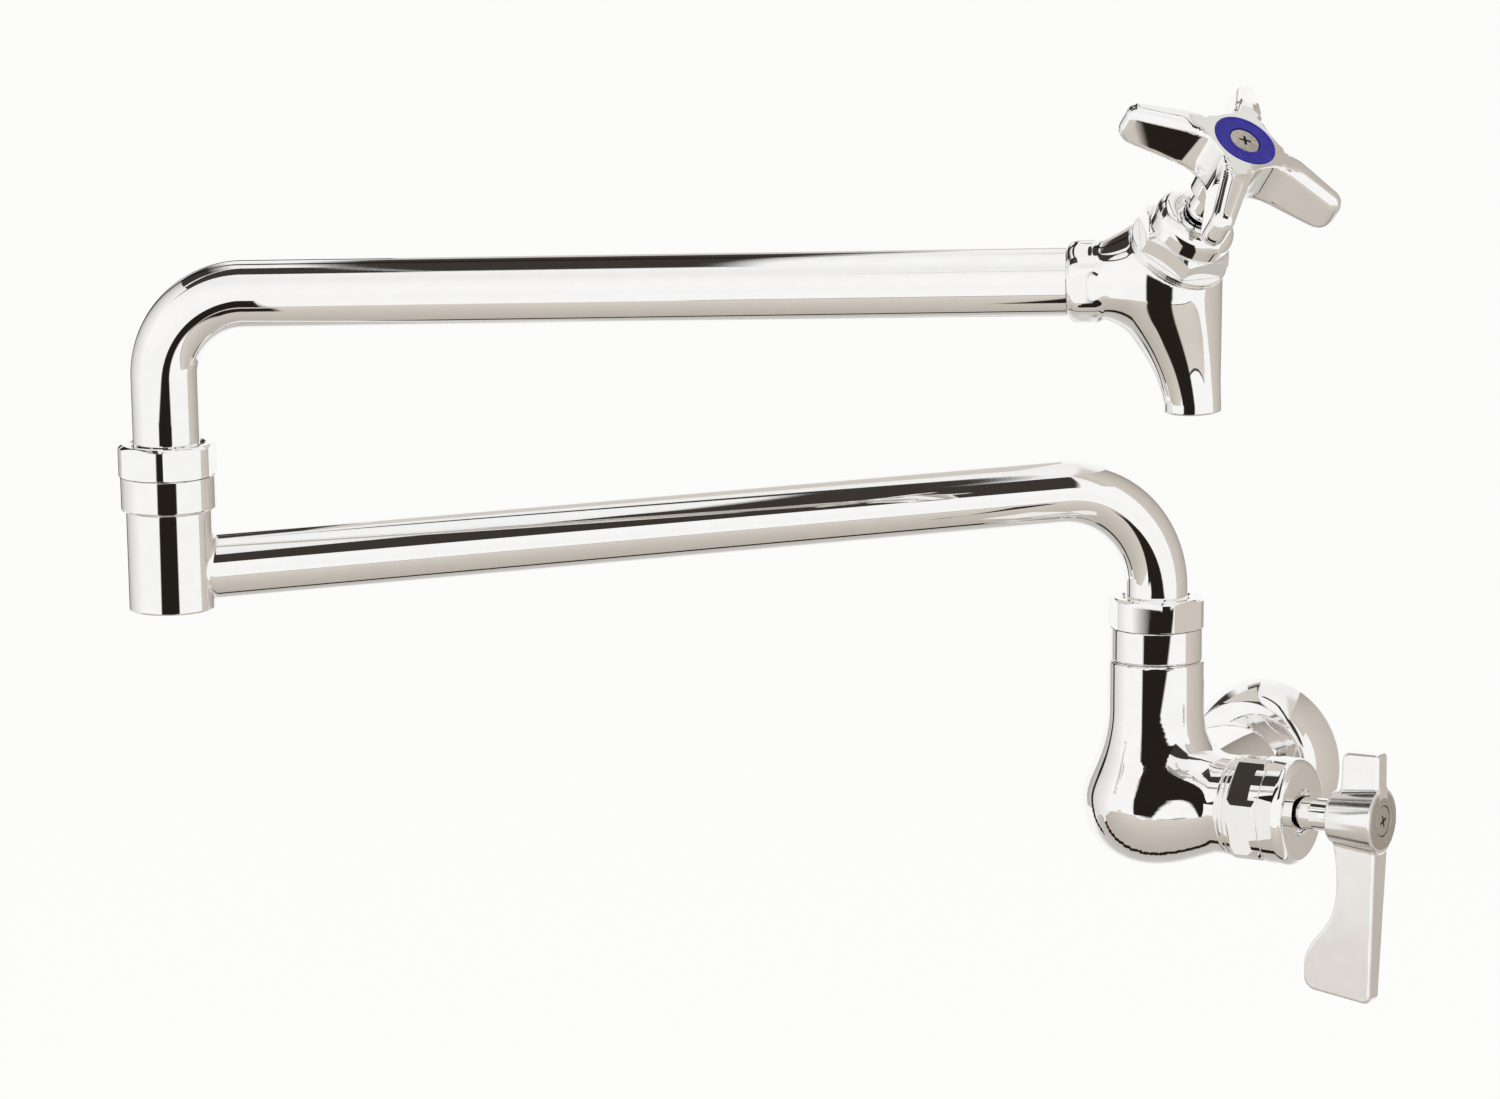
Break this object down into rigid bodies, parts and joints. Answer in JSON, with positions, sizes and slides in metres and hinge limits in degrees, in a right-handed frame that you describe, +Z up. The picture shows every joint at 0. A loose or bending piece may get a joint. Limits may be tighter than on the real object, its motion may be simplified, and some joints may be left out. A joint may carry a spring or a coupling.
{
  "type": "wall-mounted pot filler faucet",
  "caption": "Chrome wall faucet with a lever valve and a double-jointed swing spout that ends in a second, cross-handled valve with a plain down-turned nozzle.",
  "frame": {"origin": "centre of the inlet's pipe thread, in the plane of the wall that the flange presses on", "axes": "+Y into the wall along the inlet thread, +Z up, +X to the right of someone facing the wall, the way the lever valve's stem points"},
  "size_m": [0.3312, 0.3216, 0.2889],
  "materials": {
    "chrome_plate": "polished chrome plate on brass",
    "brass": "machined",
    "satin_steel": "satin stainless steel",
    "ceramic": "lapped ceramic",
    "bearing_plastic": "moulded low-friction plastic",
    "rubber": "moulded nitrile rubber",
    "blue_plastic": "moulded blue plastic, no lettering"
  },
  "bodies": {
    "base": {"valve_body": "chrome_plate", "inlet_adapter": "chrome_plate", "wall_flange": "chrome_plate", "flange_gasket": "rubber", "riser_adapter": "chrome_plate", "riser_nut": "chrome_plate", "lever_bonnet": "chrome_plate", "lever_bonnet_ring": "chrome_plate", "lever_cage": "brass", "lever_fixed_disc": "ceramic", "lever_seat_gasket": "rubber", "lever_thrust_washer": "bearing_plastic"},
    "lever": {"lever_moving_disc": "ceramic", "lever_spindle": "chrome_plate", "lever_spindle_o_rings": "rubber", "lever_handle": "chrome_plate", "lever_hub_disc": "satin_steel", "lever_screw": "satin_steel"},
    "lower_arm": {"lower_spigot": "brass", "lower_spigot_o_rings": "rubber", "lower_retaining_ring": "satin_steel", "lower_tube": "chrome_plate", "knuckle_body": "chrome_plate", "knuckle_adapter": "chrome_plate", "knuckle_nut": "chrome_plate"},
    "upper_arm": {"upper_spigot": "brass", "upper_spigot_o_rings": "rubber", "upper_retaining_ring": "satin_steel", "upper_tube": "chrome_plate", "outlet_nipple": "brass", "outlet_body": "chrome_plate", "outlet_bonnet": "chrome_plate", "outlet_bonnet_ring": "chrome_plate"},
    "outlet_wheel": {"outlet_spindle": "chrome_plate", "outlet_spindle_o_rings": "rubber", "outlet_handle": "chrome_plate", "outlet_index_disc": "blue_plastic", "outlet_screw": "satin_steel"},
    "outlet_valve": {"outlet_plunger": "brass", "outlet_seat_washer": "rubber", "outlet_washer_screw": "brass"}
  },
  "joints": [
    {"name": "lower_arm_swing", "type": "hinge", "parent": "base", "child": "lower_arm", "pos_m": [0, -0.0757, 0.0446], "axis": [0, 0, 1], "range_deg": [-53.3, 136.7]},
    {"name": "upper_arm_swing", "type": "hinge", "parent": "lower_arm", "child": "upper_arm", "pos_m": [-0.20608, -0.307, 0.10815], "axis": [-0.0186, -0.0208, 0.9996], "continuous": true},
    {"name": "lever_turn", "type": "hinge", "parent": "base", "child": "lever", "pos_m": [0.0286, -0.0757, 0.002], "axis": [-1, 0, 0], "range_deg": [0, 90]},
    {"name": "outlet_wheel_turn", "type": "hinge", "parent": "upper_arm", "child": "outlet_wheel", "pos_m": [0.06136, -0.18696, 0.1872], "axis": [0.5824, -0.2241, 0.7814], "range_deg": [0, 270]},
    {"name": "outlet_valve_lift", "type": "slide", "parent": "upper_arm", "child": "outlet_valve", "axis": [0.5824, -0.2241, 0.7814], "range_m": [0, 0.004]}
  ],
  "couplings": [
    {"joint": "outlet_valve_lift", "follows": "outlet_wheel_turn", "m_per_rad": 0.000848}
  ]
}
